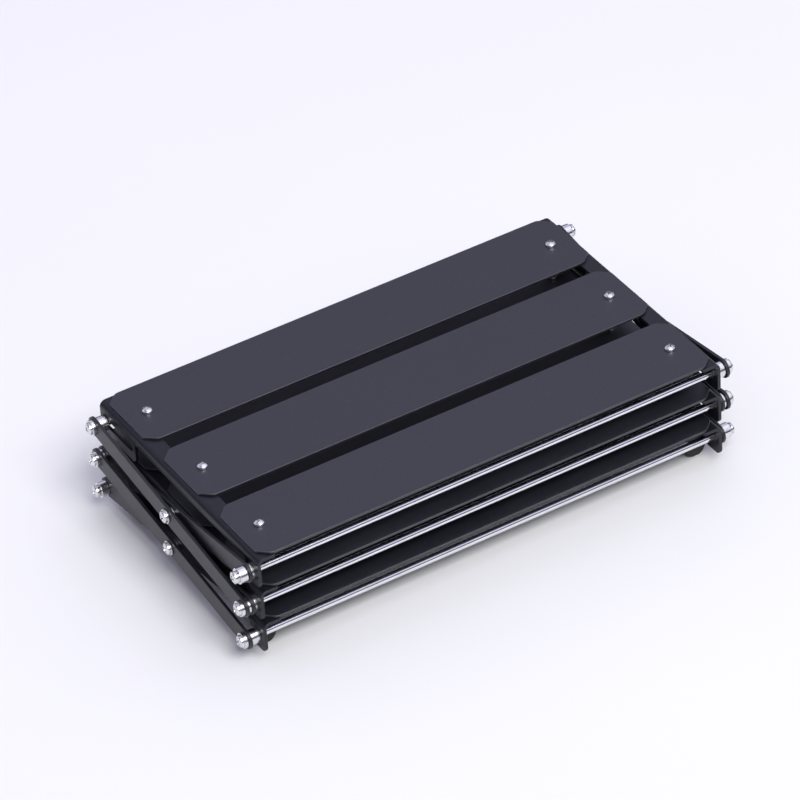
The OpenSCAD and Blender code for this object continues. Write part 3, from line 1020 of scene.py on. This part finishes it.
def end_screw(node, shank_r):
    """Screw of a node with one at each end, and the x of the underside of its head"""
    under_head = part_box(node)[1].x - END_HEAD[1]
    return screw_shape(END_HEAD, shank_r, under_head - solids_of(node)[0][0]), under_head


def at_both_ends(node, made, x, y, z, spin):
    """Puts the same screw at both ends of an axis, turned by some degrees"""
    shape = Shape()
    for sign in SIDES.values():
        shape.merge(made, mirrored(sign) @ at(x, y, z) @ Matrix.Rotation(math.radians(spin), 4, "X"))
    fastened(node, shape)


def build_end_screws():
    made, x = end_screw("top_front_rod_screws", SHANK)
    for index, (tier, z) in enumerate(zip(TIERS, pivot_z)):
        for row, y, more in (("front", front_y, 0), ("rear", rear_y, ROD_SPIN[2])):
            spin = ROD_SPIN[0] + ROD_SPIN[1] * index + more
            at_both_ends(f"{tier}_{row}_rod_screws", made, x, y, z, spin)
    made, x = end_screw("lower_pivot_screws", PIVOT_SHANK)
    for index, (level, crossing) in enumerate(zip(LEVELS, crossings)):
        spin = PIVOT_SPIN[0] + PIVOT_SPIN[1] * index
        at_both_ends(level + "_pivot_screws", made, x, crossing.y, crossing.z, spin)


build_slats()
build_brackets()
build_feet()
build_arms()
build_rods()
build_rings()
build_slat_screws()
build_nuts()
build_end_screws()


# ---------------------------------------------------------------- studio
def area_light(name, place, target, size, power, colour):
    """Rectangular light that faces a target"""
    data = bpy.data.lights.new(name, "AREA")
    data.shape = "RECTANGLE"
    data.size, data.size_y = size
    data.energy = power
    data.color = colour
    light = bpy.data.objects.new(name, data)
    light.location = place
    aim = Vector(target) - Vector(place)
    light.rotation_euler = aim.to_track_quat("-Z", "Y").to_euler()
    bpy.context.scene.collection.objects.link(light)


def build_floor():
    """Pale floor with a hardly visible clouding"""
    material, tree, shader = new_material("studio_floor")
    clouds = noise(tree, coords(tree), scale=3, detail=2)
    pale = mix_colour(tree, clouds, (0.79, 0.79, 0.79), (0.81, 0.81, 0.81))
    tree.links.new(pale, shader.inputs["Base Color"])
    shader.inputs["Roughness"].default_value = 0.6
    half = 6
    corners = [(-half, -half, 0), (half, -half, 0), (half, half, 0), (-half, half, 0)]
    mesh = bpy.data.meshes.new("floor")
    mesh.from_pydata(corners, [], [(0, 1, 2, 3)])
    mesh.materials.append(material)
    floor = bpy.data.objects.new("floor", mesh)
    bpy.context.scene.collection.objects.link(floor)


def build_world():
    """Pale studio above, with a dark band round the horizon that shows in the plating"""
    world = bpy.data.worlds.new("studio")
    world.use_nodes = True
    tree = world.node_tree
    background = tree.nodes["Background"]
    source = tree.nodes.new("ShaderNodeTexCoord")
    split = tree.nodes.new("ShaderNodeSeparateXYZ")
    tree.links.new(source.outputs["Generated"], split.inputs[0])
    ramp = tree.nodes.new("ShaderNodeValToRGB")
    stops = ramp.color_ramp.elements
    stops[-1].position = 1.0
    tint = (0.79, 0.775, 1.0)
    for height, level in ((0.0, 0.03), (0.30, 0.05), (0.46, 1.0), (0.72, 1.0), (0.9, 0.45), (1.0, 0.4)):
        stop = stops[0] if height == 0 else stops[-1] if height == 1 else stops.new(height)
        stop.color = (*(level * part for part in tint), 1)
    tree.links.new(split.outputs["Z"], ramp.inputs["Fac"])
    tree.links.new(ramp.outputs["Color"], background.inputs["Color"])
    background.inputs["Strength"].default_value = 0.88
    bpy.context.scene.world = world


def build_camera():
    """Long lens from the left front, above the rack"""
    yaw, pitch, roll = (math.radians(v) for v in (29.3, 37.35, -4.0))
    place = at(-1.5073, -2.6705, 2.4151)
    data = bpy.data.cameras.new("camera")
    data.lens = 244.1
    data.sensor_width = 36
    camera = bpy.data.objects.new("camera", data)
    forward = Vector((math.sin(yaw) * math.cos(pitch), math.cos(yaw) * math.cos(pitch), -math.sin(pitch)))
    right = Vector((math.cos(yaw), -math.sin(yaw), 0))
    up = right.cross(forward)
    tilt_right = right * math.cos(roll) + up * math.sin(roll)
    tilt_up = up * math.cos(roll) - right * math.sin(roll)
    camera.matrix_world = place @ Matrix((tilt_right, tilt_up, -forward)).transposed().to_4x4()
    bpy.context.scene.collection.objects.link(camera)
    bpy.context.scene.camera = camera


build_camera()
build_floor()
build_world()
area_light(
    "overhead", place=(0.45, -0.1, 2.1), target=(0.05, 0, 0.05), size=(1.9, 1.9),
    power=10, colour=(0.94, 0.93, 1.0),
)
area_light(
    "key", place=(-0.2, -7.9, 10.2), target=(0, 0, 0.05), size=(8.0, 6.0),
    power=1370, colour=(1.0, 1.0, 0.97),
)
bpy.context.scene.view_settings.view_transform = "Standard"
